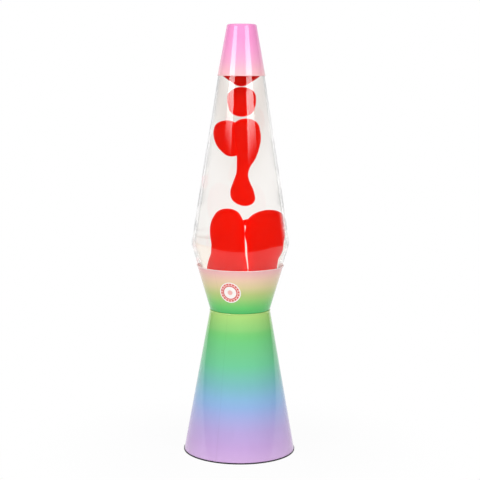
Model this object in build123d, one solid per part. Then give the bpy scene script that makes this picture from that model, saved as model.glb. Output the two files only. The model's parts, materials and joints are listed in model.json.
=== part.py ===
from build123d import *
import os

os.makedirs("parts", exist_ok=True)

# Every length is in millimetres. The lamp stands on z = 0, its axis is Z and its front faces -Y.

# Sheet metal of the two base shells and the cap, and the clearances used everywhere
sheet = 0.5             # wall of the spun shells
fixed_gap = 0.05        # between pieces that are fixed to each other
moving_gap = 0.2        # between pieces that lift apart

# Lower cone of the base
foot_radius = 52.25     # outside of the wall at its bottom edge
edge_height = 0.7       # bottom edge above the table
waist_radius = 28.1     # outside of the wall at the waist
waist_height = 135.3    # face where the cone and the cup meet
cone_bead_radius = 0.8  # rolled top edge of the cone

# Cup that holds the bottle
cup_height = 42.0
cup_foot_radius = 28.1
cup_corner_radius = 1.2
rim_radius = 40.5       # outside of the wall at the rim
rim_bead_radius = 0.5

# Rubber ring round the bottom edge
trim_lip = 0.35         # how far the ring stands out from the cone
trim_lip_height = 1.2
trim_leg = 2.4          # thickness of the leg inside the cone
trim_leg_height = 3.4

# Bottom plate with its vents, and the tabs and screws that hold it
plate_thickness = 1.0
vent_count = 15
vent_length = 11.0
vent_width = 2.6
vent_ring_radius = 37.5
centre_vent_radius = 1.6
centre_vent_count = 8
centre_vent_ring_radius = 9.0
tab_count = 3
tab_width = 12.0
tab_thickness = 1.2
tab_reach = 11.0        # how far a tab reaches in from the wall
tab_height = 14.0
screw_radius = 1.5
screw_head_radius = 2.8
screw_head_height = 1.9
screw_length = 7.0      # shank above the head

# Strap that carries the lamp holder
strap_width = 20.0
strap_thickness = 1.5
strap_half_span = 17.0
strap_foot = 13.0       # length of each foot
nut_across_flats = 5.5
nut_thickness = 2.4

# Lamp holder for a small screw bulb
holder_radius = 13.5
holder_floor = 11.0     # solid stretch under the contact chamber
holder_edge_radius = 1.0
contact_chamber_radius = 5.5
shell_wall = 0.5
nipple_radius = 5.0
nipple_bore_radius = 3.4
nipple_reach = 7.0      # how far the nipple goes into the holder
lock_nut_across_flats = 14.0
lock_nut_thickness = 3.0
terminal_screw_radius = 1.6
terminal_screw_length = 6.0
terminal_height = 5.0
contact_width = 4.0
contact_thickness = 0.5

# Reflector bulb, base up to its screw shell
bulb_length = 66.5
bulb_radius = 19.5
bulb_wall = 0.7
bulb_neck_radius = 6.2
bulb_shell_radius = 6.95
bulb_shell_wall = 0.3
bulb_shell_length = 17.0
bulb_insulator_height = 4.5
bulb_tip_radius = 2.4
bulb_tip_height = 1.3
bulb_drop = 12.3        # top of the bulb below the waist face
bulb_flare_drop = 35.0  # start of the reflector's cone below the top of the bulb
filament_drop = 22.0    # filament below the top of the bulb
filament_length = 12.0
filament_radius = 0.6
lead_radius = 0.3
lead_spread = 1.2       # each lead's distance from the axis where it leaves the stem
stem_gap = 12.0         # from the stem's top up to the filament
seal_height = 7.0       # closed end of the glass above the screw shell's bottom edge
thread_clearance = 0.1

# Waist opening, its clamping eyelet and the seat of the bottle
throat_clearance = 1.9  # round the bulb where it passes the waist
eyelet_wall = 0.8
seat_thickness = 2.4
seat_side_gap = 0.4

# Cable bush at the back
bush_height = 14.0
bush_radius = 4.4
bush_bore_radius = 3.1
bush_flange_radius = 6.6
bush_flange_thickness = 1.2
bush_length = 8.0
bush_stand_out = 1.7    # how far the bush stands out from the wall
bush_mouth_depth = 3.6  # flared outer end, from inside the wall outwards
bush_mouth_flare = 0.7

# Round sticker on the cup
sticker_radius = 9.8
sticker_thickness = 0.15
sticker_height = 21.0   # its centre above the waist face
sticker_turn = -15.5    # degrees about the axis from the front, towards -X

# Bottle
glass_wall = 2.4
floor_thickness = 4.2
punt_depth = 1.5
heel_gap = 0.9          # between the heel and the cup's wall
heel_radius = 3.0
foot_ring_width = 5.5
shoulder_rise = 20.2    # shoulder above the cup's rim
shoulder_round = 18.0
taper_height = 155.5    # from the shoulder up to the cap's rim
neck_base_round = 9.0
neck_radius = 12.8
neck_base_rise = 9.0    # where the taper turns in, above the cap's rim
neck_round = 3.0
finish_rise = 20.0      # start of the lip under the crown, above the cap's rim
finish_height = 7.0
lip_stand_out = 0.35

# Crown closure
crown_skirt_radius = 14.4
crown_wall = 0.3
crown_height = 6.0
crown_flute_count = 21
crown_flute_radius = 0.9
liner_thickness = 0.7

# Cap
cap_height = 47.0
cap_rim_radius = 22.1   # outside of the wall at the rim
cap_top_radius = 13.5
cap_edge_round = 2.2
cap_bead_radius = 0.4

# Liquid and wax
liquid_gap = 0.1        # between the liquid and the glass
wax_gap = 0.1           # between the liquid and the wax that stays
drift_gap = 0.35        # between the liquid and a drifting blob
level_rise = 8.0        # surface of the liquid above the cap's rim
pool_depth = 10.8       # tip of the top pool below the cap's rim
pool_tip_radius = 5.0   # at a quarter of its depth
pool_radius = 11.6      # near the cap's rim
round_blob_gap = 0.9    # between the pool's tip and the round blob
round_blob_height = 26.8
round_blob_radius = 9.6
round_blob_offset = 0.3 # sideways from the axis
long_blob_gap = 1.5     # between the round blob and the long one
left_lobe_radius = 9.6
left_lobe_reach = 9.6   # distance of the left lobe's axis from the lamp's
left_lobe_set_back = 1.5
left_lobe_drop = 1.8    # its top below the right lobe's
right_lobe_radius = 10.2
right_lobe_reach = 3.6
stem_radius = 4.1
drop_radius = 8.6
drop_gap = 2.6          # between the long blob's end and the top of the columns
column_rise = 32.0      # top of the columns above the shoulder
column_split = 1.5      # narrow gap between the two columns
split_place = 4.6       # the gap's distance from the axis
left_column_reach = 9.4   # distance of the left column's axis from the lamp's
right_column_reach = 18.9
right_column_lean = 4.5   # degrees
puddle_height = 4.6
coil_ring_radius = 19.0
coil_radius = 1.6

# Heights and radii that follow from the sizes above
rim_height = waist_height + cup_height
shoulder_height = rim_height + shoulder_rise
cap_rim_height = shoulder_height + taper_height
total_height = cap_rim_height + cap_height
plate_height = trim_leg_height
strap_foot_height = plate_height + plate_thickness
throat_radius = bulb_radius + throat_clearance
seat_height = waist_height + sheet + eyelet_wall + seat_thickness
bulb_top = waist_height - bulb_drop
bulb_tip = bulb_top - bulb_length
shell_base = bulb_tip + bulb_insulator_height
chamber_base = bulb_tip - contact_thickness * 2 - 5.0
holder_base = chamber_base - holder_floor
holder_mouth = shell_base + bulb_shell_length - 1.0
threaded_shell_radius = bulb_shell_radius + thread_clearance
floor_height = seat_height + floor_thickness
liquid_level = cap_rim_height + level_rise
stem_top = bulb_top - filament_drop - stem_gap
finish_base = cap_rim_height + finish_rise
lip_height = finish_base + finish_height


def along(height, low, high):
    """Radius at a height on the straight line between two (radius, height) points."""
    share = (height - low[1]) / (high[1] - low[1])
    return low[0] + (high[0] - low[0]) * share


def cone_radius(height):
    """Outside of the lower cone."""
    return along(height, (foot_radius, edge_height), (waist_radius, waist_height))


def cup_radius(height):
    """Outside of the cup."""
    return along(height, (cup_foot_radius, waist_height), (rim_radius, rim_height))


def cap_radius(height):
    """Outside of the cap."""
    return along(height, (cap_rim_radius, cap_rim_height), (cap_top_radius, total_height))


heel_reach = cup_radius(seat_height) - sheet - heel_gap
rim_glass_radius = rim_radius - sheet - moving_gap
shoulder_radius = along(shoulder_height, (heel_reach, seat_height), (rim_glass_radius, rim_height))
cap_glass_radius = cap_rim_radius - sheet - moving_gap


def taper_radius(height):
    """Outside of the bottle above its shoulder."""
    return along(height, (shoulder_radius, shoulder_height), (cap_glass_radius, cap_rim_height))


def heel_cone_radius(height):
    """Outside of the bottle below its shoulder."""
    return along(height, (heel_reach, seat_height), (shoulder_radius, shoulder_height))


def half_section(points, rounds=0):
    """Face on the XZ plane with (radius, height) corners and a rounding for each corner."""
    return Plane.XZ * make_face(FilletPolyline(*points, radius=rounds, close=True))


def ring_section(inner, outer, low, high):
    """Rectangle of a ring's half section."""
    return half_section([(inner, low), (outer, low), (outer, high), (inner, high)])


def bead_section(radius, height, size):
    """Circle of a rolled edge's half section."""
    return Plane.XZ * Pos(radius, height) * Circle(size)


def turned(*sections):
    """Solid turned about the lamp's axis from one or more half sections that overlap."""
    outline = sections[0]
    for piece in sections[1:]:
        outline = outline + piece
    return revolve(outline, Axis.Z)


def tube(inner, outer, low, high):
    """Upright tube about the lamp's axis."""
    return turned(ring_section(inner, outer, low, high))


def save(shape, name):
    """Write one sub-part."""
    shape.label = name
    export_step(shape, f"parts/{name}.step")


def lower_cone():
    """Spun cone of the base with its rolled top edge, inward flange and cable hole."""
    wall = half_section([
        (foot_radius - sheet, edge_height), (foot_radius, edge_height),
        (waist_radius, waist_height), (waist_radius - sheet, waist_height),
    ])
    flange = ring_section(
        throat_radius + eyelet_wall + fixed_gap, waist_radius, waist_height - sheet, waist_height)
    bead = bead_section(
        waist_radius - sheet / 2, waist_height - cone_bead_radius, cone_bead_radius)
    hole = Pos(0, cone_radius(bush_height), bush_height) * Rot(X=90) * Cylinder(
        bush_radius + fixed_gap, foot_radius / 4)
    return turned(wall, flange, bead) - hole


def upper_cup():
    """Spun cup with a rolled rim, standing on the cone's flange."""
    bottom = waist_height
    wall = half_section([
        (cup_foot_radius - cup_corner_radius, bottom), (cup_foot_radius, bottom),
        (rim_radius, rim_height), (rim_radius - sheet, rim_height),
        (cup_foot_radius - sheet, bottom + sheet), (cup_foot_radius - cup_corner_radius, bottom + sheet),
    ], [0, cup_corner_radius, 0, 0, 0, 0])
    flange = ring_section(
        throat_radius + eyelet_wall + fixed_gap, cup_foot_radius - cup_corner_radius,
        bottom, bottom + sheet)
    bead = bead_section(
        rim_radius - sheet + rim_bead_radius, rim_height - rim_bead_radius, rim_bead_radius)
    return turned(wall, flange, bead)


def waist_eyelet():
    """Rolled sleeve that clamps the two flanges together round the waist opening."""
    low = waist_height - sheet
    high = waist_height + sheet
    outer = cup_radius(high) - sheet * 2 - 2.0
    sleeve = ring_section(throat_radius, throat_radius + eyelet_wall, low - eyelet_wall, high + eyelet_wall)
    lower_lip = ring_section(throat_radius, outer, low - eyelet_wall, low)
    upper_lip = ring_section(throat_radius, outer, high, high + eyelet_wall)
    return turned(sleeve, lower_lip, upper_lip)


def bottle_seat_ring():
    """Flat silicone ring on the eyelet, on which the bottle stands."""
    low = seat_height - seat_thickness
    outer = cup_radius(low) - sheet - seat_side_gap
    return tube(throat_radius, outer, low, seat_height)


def foot_ring():
    """Black rubber ring with a groove for the cone's bottom edge."""
    inner_wall = cone_radius(trim_leg_height) - sheet - fixed_gap
    floor = ring_section(inner_wall - trim_leg, foot_radius + trim_lip, 0, edge_height - fixed_gap)
    lip = ring_section(foot_radius + fixed_gap, foot_radius + trim_lip, 0, trim_lip_height)
    leg = ring_section(inner_wall - trim_leg, inner_wall, 0, trim_leg_height)
    return turned(floor, lip, leg)


def tab_angles():
    """Directions of the three plate tabs, one of them at the front."""
    return [-90 + 360 / tab_count * k for k in range(tab_count)]


def tab_screw_radius():
    """Distance of the plate screws from the axis."""
    return cone_radius(strap_foot_height) - sheet - tab_reach / 2


def vent_angles():
    """Directions of the vent slots, evenly shared between the tabs."""
    per_bay = vent_count // tab_count
    bay = 360 / tab_count
    step = bay / (per_bay + 1)
    return [tab + step * (k + 1) for tab in tab_angles() for k in range(per_bay)]


def strap_screw_reach():
    """Distance of the strap screws from the axis."""
    return strap_half_span + strap_thickness + strap_foot / 2


def bottom_plate():
    """Vented steel plate on the ring's inner leg."""
    outer = cone_radius(plate_height + plate_thickness) - sheet - moving_gap
    plate = Pos(0, 0, plate_height + plate_thickness / 2) * Cylinder(outer, plate_thickness)
    deep = plate_thickness * 3
    slot = extrude(SlotOverall(vent_length, vent_width), deep / 2, both=True)
    hole = Cylinder(screw_radius + fixed_gap, deep)
    at_plate = Pos(0, 0, plate_height)
    for angle in vent_angles():
        plate -= at_plate * Rot(Z=angle) * Pos(vent_ring_radius, 0, 0) * slot
    for angle in tab_angles():
        plate -= at_plate * Rot(Z=angle) * Pos(tab_screw_radius(), 0, 0) * hole
    for side in (-1, 1):
        plate -= at_plate * Pos(side * strap_screw_reach(), 0, 0) * hole
    plate -= at_plate * PolarLocations(centre_vent_ring_radius, centre_vent_count) * Cylinder(
        centre_vent_radius, deep)
    return plate


def screw(length):
    """Pan head screw, head down, with the underside of its head at z = 0."""
    head = Pos(0, 0, -screw_head_height / 2) * Cylinder(screw_head_radius, screw_head_height)
    head = fillet(head.edges().group_by(Axis.Z)[0], screw_head_height / 3)
    slot_size = screw_head_radius * 1.3
    slot = Pos(0, 0, -screw_head_height) * (
        Box(slot_size, slot_size / 5, screw_head_height) + Box(slot_size / 5, slot_size, screw_head_height))
    return head + Pos(0, 0, length / 2) * Cylinder(screw_radius, length) - slot


def plate_tabs():
    """Three welded angle tabs inside the cone, tapped for the plate's screws."""
    low = strap_foot_height
    wall = half_section([
        (cone_radius(low) - sheet - fixed_gap - tab_thickness, low),
        (cone_radius(low) - sheet - fixed_gap, low),
        (cone_radius(low + tab_height) - sheet - fixed_gap, low + tab_height),
        (cone_radius(low + tab_height) - sheet - fixed_gap - tab_thickness, low + tab_height),
    ])
    floor = ring_section(
        cone_radius(low) - sheet - tab_reach, cone_radius(low) - sheet - fixed_gap - tab_thickness / 2,
        low, low + tab_thickness * 1.5)
    ring = turned(wall, floor)
    slice_box = Pos(foot_radius / 2, 0, low + tab_height / 2) * Box(foot_radius, tab_width, tab_height * 1.2)
    hole = Pos(tab_screw_radius(), 0, low) * Cylinder(screw_radius + fixed_gap, tab_height)
    tab = (ring & slice_box) - hole
    return [Rot(Z=angle) * tab for angle in tab_angles()]


def holder_strap():
    """Bent steel strap that stands on the plate and carries the lamp holder."""
    top = holder_base
    low = strap_foot_height
    half = strap_half_span
    thick = strap_thickness
    foot = half + thick + strap_foot
    inner_foot_top = low + thick
    profile = [
        (-foot, low), (-half, low), (-half, top - thick), (half, top - thick), (half, low), (foot, low),
        (foot, inner_foot_top), (half + thick, inner_foot_top), (half + thick, top),
        (-half - thick, top), (-half - thick, inner_foot_top), (-foot, inner_foot_top),
    ]
    outer_bend = thick * 1.6
    inner_bend = thick * 0.6
    bends = [0, outer_bend, inner_bend, inner_bend, outer_bend, 0,
             0, inner_bend, outer_bend, outer_bend, inner_bend, 0]
    strap = extrude(half_section(profile, bends), strap_width / 2, both=True)
    strap -= Pos(0, 0, top) * Cylinder(nipple_radius + fixed_gap, thick * 4)
    for side in (-1, 1):
        strap -= Pos(side * strap_screw_reach(), 0, low) * Cylinder(screw_radius + fixed_gap, thick * 4)
    return strap


def plate_screws():
    """Screws through the plate into the tabs."""
    one = Pos(tab_screw_radius(), 0, plate_height) * screw(screw_length)
    return [Rot(Z=angle) * one for angle in tab_angles()]


def strap_screws():
    """Screws through the plate and the strap's feet."""
    return [Pos(side * strap_screw_reach(), 0, plate_height) * screw(screw_length) for side in (-1, 1)]


def hex_nut(across_flats, thickness, bore):
    """Nut standing on z = 0."""
    body = extrude(RegularPolygon(across_flats / 2, 6, major_radius=False), thickness)
    return body - Pos(0, 0, thickness / 2) * Cylinder(bore, thickness * 2)


def strap_nuts():
    """Nuts on top of the strap's feet."""
    height = strap_foot_height + strap_thickness
    nut = hex_nut(nut_across_flats, nut_thickness, screw_radius + fixed_gap)
    return [Pos(side * strap_screw_reach(), 0, height) * nut for side in (-1, 1)]


def holder_nipple():
    """Threaded tube that joins the holder to the strap."""
    low = holder_base - strap_thickness - lock_nut_thickness - 1.0
    return tube(nipple_bore_radius, nipple_radius, low, holder_base + nipple_reach - fixed_gap)


def holder_lock_nut():
    """Nut under the strap."""
    height = holder_base - strap_thickness - lock_nut_thickness
    return Pos(0, 0, height) * hex_nut(
        lock_nut_across_flats, lock_nut_thickness, nipple_radius + fixed_gap)


def holder_body():
    """Ceramic body of the lamp holder with its contact chamber and screw pockets."""
    shell_seat = shell_base - 1.5
    body = turned(half_section([
        (0, holder_base), (holder_radius, holder_base), (holder_radius, holder_mouth), (0, holder_mouth),
    ], [0, holder_edge_radius, holder_edge_radius, 0]))
    bore = threaded_shell_radius + shell_wall + fixed_gap
    body -= Pos(0, 0, (shell_seat + holder_mouth) / 2 + 1) * Cylinder(bore, holder_mouth - shell_seat + 2)
    body -= Pos(0, 0, (chamber_base + shell_seat) / 2 + 1) * Cylinder(
        contact_chamber_radius, shell_seat - chamber_base + 2)
    body -= Pos(0, 0, holder_base) * Cylinder(nipple_radius + fixed_gap, nipple_reach * 2)
    pocket = Rot(Y=90) * Cylinder(terminal_screw_radius + fixed_gap, terminal_screw_length)
    for side in (-1, 1):
        reach = side * (holder_radius - terminal_screw_length / 2 + fixed_gap)
        body -= Pos(reach, 0, holder_base + terminal_height) * pocket
    return body


def holder_threaded_shell():
    """Brass shell that takes the bulb's screw shell."""
    low = shell_base - 1.4
    wall = ring_section(threaded_shell_radius, threaded_shell_radius + shell_wall, low, holder_mouth - 1.5)
    lip = ring_section(
        contact_chamber_radius + fixed_gap, threaded_shell_radius + shell_wall, low, low + shell_wall)
    return turned(wall, lip)


def holder_centre_contact():
    """Bent brass tongue under the bulb's foot contact."""
    low = chamber_base
    high = bulb_tip - fixed_gap
    thick = contact_thickness
    reach = contact_chamber_radius * 0.6
    profile = [
        (-reach, low), (reach, low), (reach, low + thick), (-reach + thick, low + thick),
        (-reach + thick, high - thick), (bulb_tip_radius, high - thick),
        (bulb_tip_radius, high), (-reach, high),
    ]
    return extrude(half_section(profile), contact_width / 2, both=True)


def holder_terminal_screws():
    """Grub screws that clamp the wires in the holder."""
    length = terminal_screw_length - 1.0
    grub = Rot(Y=90) * Cylinder(terminal_screw_radius, length)
    grub -= Pos(length / 2, 0, 0) * Box(1.2, terminal_screw_radius * 3, 0.5)
    reach = holder_radius - length / 2 - 0.4
    height = holder_base + terminal_height
    return [Rot(Z=turn) * Pos(reach, 0, height) * grub for turn in (0, 180)]


def cable_bush():
    """Bush with a flared round bore through the back of the cone, flanged on both sides of the wall."""
    wall_reach = cone_radius(bush_height)
    end = wall_reach + bush_stand_out
    low = bush_height - bush_flange_radius * 2
    high = bush_height + bush_flange_radius * 2

    def skin(start, thickness):
        """Ring that follows the cone from start outwards."""
        return turned(half_section([
            (cone_radius(low) + start, low), (cone_radius(low) + start + thickness, low),
            (cone_radius(high) + start + thickness, high), (cone_radius(high) + start, high),
        ]))

    reach = Pos(0, end - bush_length / 2, bush_height) * Rot(X=90)
    neck = reach * Cylinder(bush_radius, bush_length)
    flange = reach * Cylinder(bush_flange_radius, bush_length)
    outer = flange & skin(fixed_gap, bush_flange_thickness)
    inner = flange & skin(-sheet - fixed_gap - bush_flange_thickness, bush_flange_thickness)
    mouth = Pos(0, end - bush_mouth_depth / 2, bush_height) * Rot(X=90) * Cone(
        bush_bore_radius + bush_mouth_flare, bush_bore_radius, bush_mouth_depth)
    return neck + outer + inner - reach * Cylinder(bush_bore_radius, bush_length * 2) - mouth


def round_sticker():
    """Thin round sticker that follows the cup's wall."""
    centre = waist_height + sticker_height
    low = centre - sticker_radius * 1.2
    high = centre + sticker_radius * 1.2
    start = fixed_gap
    skin = turned(half_section([
        (cup_radius(low) + start, low), (cup_radius(low) + start + sticker_thickness, low),
        (cup_radius(high) + start + sticker_thickness, high), (cup_radius(high) + start, high),
    ]))
    punch = Pos(0, -cup_radius(centre), centre) * Rot(X=90) * Cylinder(sticker_radius, cup_foot_radius)
    return Rot(Z=sticker_turn) * (skin & punch)


def bulb_outline(top, inset):
    """Half section of the bulb's envelope, drawn in by inset all round."""
    neck = bulb_neck_radius - inset
    face = bulb_radius - inset
    high = top - inset
    low = shell_base + seal_height + inset
    return half_section([
        (0, low), (neck, low), (neck, shell_base + bulb_shell_length + 2.5),
        (neck + 2.2, top - bulb_flare_drop),
        (face - 1.0, top - 13.0), (face, top - 8.0), (face - 5.5, high - 0.8), (0, high),
    ], [0, 1.0, 10.0, 14.0, 6.0, 4.0, 8.0, 0])


def bulb_envelope():
    """Hollow glass of the reflector bulb."""
    return turned(bulb_outline(bulb_top, 0)) - turned(bulb_outline(bulb_top, bulb_wall))


def bulb_stem():
    """Glass stem that holds the lead wires."""
    low = shell_base + seal_height + bulb_wall
    high = stem_top
    foot = bulb_neck_radius - bulb_wall - fixed_gap - 0.5
    return turned(half_section([
        (0, low), (foot, low), (2.2, low + 8.0), (1.6, high - 1.0), (2.4, high), (0, high),
    ], [0, 1.0, 3.0, 0.5, 0.5, 0]))


def bulb_leads():
    """Two wires from the stem to the filament's ends."""
    low = stem_top + fixed_gap
    high = bulb_top - filament_drop
    leads = []
    for side in (-1, 1):
        path = Polyline(
            (side * lead_spread, 0, low), (side * lead_spread, 0, low + stem_gap / 4),
            (side * (filament_length / 2 - lead_radius), 0, high))
        start = Plane(origin=path @ 0, z_dir=path % 0)
        leads.append(sweep(start * Circle(lead_radius), path, transition=Transition.ROUND))
    return leads


def bulb_filament():
    """Outer shape of the coiled filament between the leads."""
    height = bulb_top - filament_drop + lead_radius + filament_radius
    return Pos(0, 0, height) * Rot(Y=90) * Cylinder(filament_radius, filament_length)


def bulb_screw_shell():
    """Metal screw shell of the bulb."""
    high = shell_base + bulb_shell_length
    wall = ring_section(bulb_shell_radius - bulb_shell_wall, bulb_shell_radius, shell_base, high)
    floor = ring_section(
        bulb_tip_radius * 1.6, bulb_shell_radius, shell_base, shell_base + bulb_shell_wall)
    return turned(wall, floor)


def bulb_insulator():
    """Glass insulator between the screw shell and the foot contact."""
    low = bulb_tip + bulb_tip_height
    high = shell_base + 1.0
    bore = bulb_tip_radius + thread_clearance
    neck = bulb_tip_radius * 1.6 - fixed_gap
    outer = bulb_shell_radius - bulb_shell_wall - 0.8
    return turned(half_section([
        (bore, low), (bulb_tip_radius + 1.0, low), (outer, shell_base), (neck, shell_base),
        (neck, high), (bore, high),
    ]))


def bulb_foot_contact():
    """Solder contact at the foot of the bulb, a button on a short stud."""
    button = half_section([
        (0, bulb_tip), (bulb_tip_radius, bulb_tip),
        (bulb_tip_radius, shell_base + 0.8), (0, shell_base + 0.8),
    ], [0, 0.8, 0.3, 0])
    return turned(button)


def bottle_glass():
    """Glass bottle with a hollow taper, a neck and a lip for the crown."""
    foot_inner = heel_reach - foot_ring_width
    neck_base = cap_rim_height + neck_base_rise
    outer = turned(half_section([
        (0, seat_height + punt_depth), (foot_inner - punt_depth, seat_height + punt_depth),
        (foot_inner, seat_height), (heel_reach, seat_height), (shoulder_radius, shoulder_height),
        (taper_radius(neck_base), neck_base), (neck_radius, neck_base + 2.0),
        (neck_radius, finish_base), (neck_radius + lip_stand_out, finish_base + 1.0),
        (neck_radius + lip_stand_out, lip_height), (0, lip_height),
    ], [0, 0.8, 0.8, heel_radius, shoulder_round, neck_base_round, neck_round, 0.5, 0.3, 1.0, 0]))
    return outer - turned(cavity(0, lip_height + 1.0))


def cavity(inset, top):
    """Half section of the bottle's inside, drawn in by inset, up to a given height."""
    wall = glass_wall + inset
    low = floor_height + inset
    neck_base = cap_rim_height + neck_base_rise
    bore = neck_radius - wall
    inner_taper = taper_radius(neck_base) - wall
    return half_section([
        (0, low), (heel_cone_radius(low) - wall, low), (shoulder_radius - wall, shoulder_height),
        (inner_taper, neck_base), (bore, neck_base + 2.0), (bore, max(top, neck_base + 6.0)),
        (0, max(top, neck_base + 6.0)),
    ], [0, heel_radius, shoulder_round - wall, neck_base_round - wall, neck_round, 0, 0]) - (
        half_section([(-1, top), (foot_radius, top), (foot_radius, total_height), (-1, total_height)]))


def crown_cap():
    """Pressed steel crown with a fluted skirt."""
    top = lip_height + liner_thickness + crown_wall
    low = top - crown_height
    inner = neck_radius + lip_stand_out + fixed_gap
    outer = turned(half_section([
        (0, low), (crown_skirt_radius, low), (inner + crown_wall, low + crown_height * 0.6),
        (inner + crown_wall, top), (0, top),
    ], [0, 0, 2.0, 1.0, 0]))
    flute = Pos(0, 0, low + 1.5) * Cylinder(crown_flute_radius, crown_height * 0.8)
    places = PolarLocations(crown_skirt_radius + crown_flute_radius * 0.45, crown_flute_count)
    outer -= [place * flute for place in places]
    bore = Pos(0, 0, (low + top - crown_wall) / 2) * Cylinder(inner, top - crown_wall - low)
    return outer - bore


def crown_liner():
    """Sealing disc between the lip and the crown."""
    return Pos(0, 0, lip_height + liner_thickness / 2) * Cylinder(neck_radius, liner_thickness)


def cap_shell():
    """Tapered cap with a closed top and a small bead at its rim."""
    low = cap_rim_height
    wall = half_section([
        (cap_rim_radius - sheet, low), (cap_rim_radius, low), (cap_top_radius, total_height),
        (0, total_height), (0, total_height - sheet), (cap_radius(total_height - sheet) - sheet,
                                                       total_height - sheet),
    ], [0, 0, cap_edge_round, 0, 0, cap_edge_round - sheet])
    bead = bead_section(
        cap_rim_radius - sheet + cap_bead_radius, low + cap_bead_radius, cap_bead_radius)
    return turned(wall, bead)


def blob(stations, grow=0.0):
    """Smooth wax form through circles, given as (height, x, radius), with a point where a radius is 0."""
    rows = sorted(stations)
    ends = {0: -grow, len(rows) - 1: grow}
    sections = []
    for index, (height, x, radius) in enumerate(rows):
        level = height + ends.get(index, 0.0)
        sections.append(Pos(x, 0, level) * Circle(radius + grow) if radius else Vertex(x, 0, level))
    return loft(sections)


def egg(x, y, low, high, radius, grow=0.0, fullness=0.5):
    """Egg of wax about an upright axis, widest at a share of its height."""
    middle = low + (high - low) * fullness
    half = Plane.XZ * make_face([
        Line((0, low - grow), (0, high + grow)),
        Spline((0, high + grow), (radius + grow, middle), tangents=[(1, 0), (0, -1)],
               tangent_scalars=[1.0, 1.0]),
        Spline((radius + grow, middle), (0, low - grow), tangents=[(0, -1), (-1, 0)],
               tangent_scalars=[1.0, 1.0]),
    ])
    return Pos(x, y, 0) * revolve(half, Axis.Z)


pool_tip = cap_rim_height - pool_depth
round_top = pool_tip - round_blob_gap
round_bottom = round_top - round_blob_height
long_top = round_bottom - long_blob_gap
column_top = shoulder_height + column_rise
long_bottom = column_top + drop_gap
long_height = long_top - long_bottom


def wax_top_pool(grow=0.0):
    """Wax gathered under the liquid's surface, with a rounded tip hanging down."""
    top = liquid_level - 1.5
    reach = taper_radius(top) - glass_wall - 3.5
    half = Plane.XZ * make_face([
        Polyline((0, pool_tip - grow), (0, top + grow), (reach + grow, top + grow)),
        Spline((reach + grow, top + grow), (pool_radius + grow, pool_tip + pool_depth * 0.83),
               (pool_tip_radius + grow, pool_tip + pool_depth * 0.25), (0, pool_tip - grow),
               tangents=[(-0.2, -1), (-1, 0)]),
    ])
    return revolve(half, Axis.Z)


def wax_round_blob(grow=0.0):
    """Round blob under the pool."""
    return egg(round_blob_offset, 0, round_bottom, round_top, round_blob_radius, grow, 0.56)


def wax_long_blob(grow=0.0):
    """Two lobes side by side with a stem and a drop hanging from them."""
    left = egg(-left_lobe_reach, left_lobe_set_back, long_top - long_height * 0.43,
               long_top - left_lobe_drop, left_lobe_radius, grow, 0.62)
    right = egg(right_lobe_reach, 0, long_top - long_height * 0.56, long_top,
                right_lobe_radius, grow, 0.72)
    rows = [  # share of the height from the top, sideways place and radius as shares of the drop's radius
        (0.18, 0.23, 0), (0.26, 0.4, 0.93), (0.42, 0.49, 0.84), (0.53, 0.29, 0.57),
        (0.64, 0.15, stem_radius / drop_radius), (0.76, 0.12, 0.74), (0.87, 0.19, 1.0), (0.96, 0.3, 0.72),
        (1.0, 0.35, 0)]
    at = [(long_top - long_height * share, drop_radius * x, drop_radius * size)
          for share, x, size in rows]
    return left + right + blob(at, grow)


def column(x, top, rows, lean, grow=0.0):
    """Domed column of wax from (height, radius) rows, leaning about its top by some degrees."""
    base = floor_height + wax_gap + puddle_height / 4
    outline = [(radius + grow, height) for height, radius in rows] + [(0, top + grow)]
    half = Plane.XZ * make_face([
        Polyline((0, top + grow), (0, base), (outline[0][0], base), outline[0]),
        Spline(*outline, tangents=[(0, 1), (-1, 0)]),
    ])
    return Pos(x, 0, top) * Rot(Y=lean) * Pos(0, 0, -top) * revolve(half, Axis.Z)


def wax_bottom_mass(grow=0.0):
    """Two columns side by side that rise from the puddle on the bottle's floor."""
    low = floor_height + wax_gap
    height = column_top - low
    left_radius = left_column_reach + split_place - column_split / 2
    right_radius = right_column_reach - split_place - column_split / 2
    left_rows = [(low + height * share, left_radius * size) for share, size in (
        (0.08, 0.82), (0.24, 0.92), (0.42, 1.0), (0.6, 0.94), (0.78, 0.95), (0.93, 0.63))]
    right_rows = [(low + height * share, right_radius * size) for share, size in (
        (0.08, 0.56), (0.24, 0.7), (0.42, 0.78), (0.6, 0.9), (0.78, 1.0), (0.93, 0.65))]
    left = column(-left_column_reach, column_top, left_rows, 0, grow)
    right = column(right_column_reach, column_top - height / 80, right_rows, right_column_lean, grow)
    inner = heel_cone_radius(low) - glass_wall - liquid_gap - heel_radius + grow
    puddle = Pos(0, 0, low + puddle_height / 2) * Cylinder(inner, puddle_height + grow * 2)
    return left + right + puddle


def coil_ring(grow=0.0):
    """Outer shape of the wire coil that lies in a ring on the bottle's floor."""
    height = floor_height + wax_gap + coil_radius
    return Pos(0, 0, height) * Torus(coil_ring_radius, coil_radius + grow)


def liquid():
    """Clear liquid that fills the bottle round the wax."""
    body = turned(cavity(liquid_gap, liquid_level))
    for piece in (wax_top_pool(wax_gap), wax_bottom_mass(wax_gap), wax_round_blob(drift_gap),
                  wax_long_blob(drift_gap)):
        body -= piece
    return body


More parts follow.
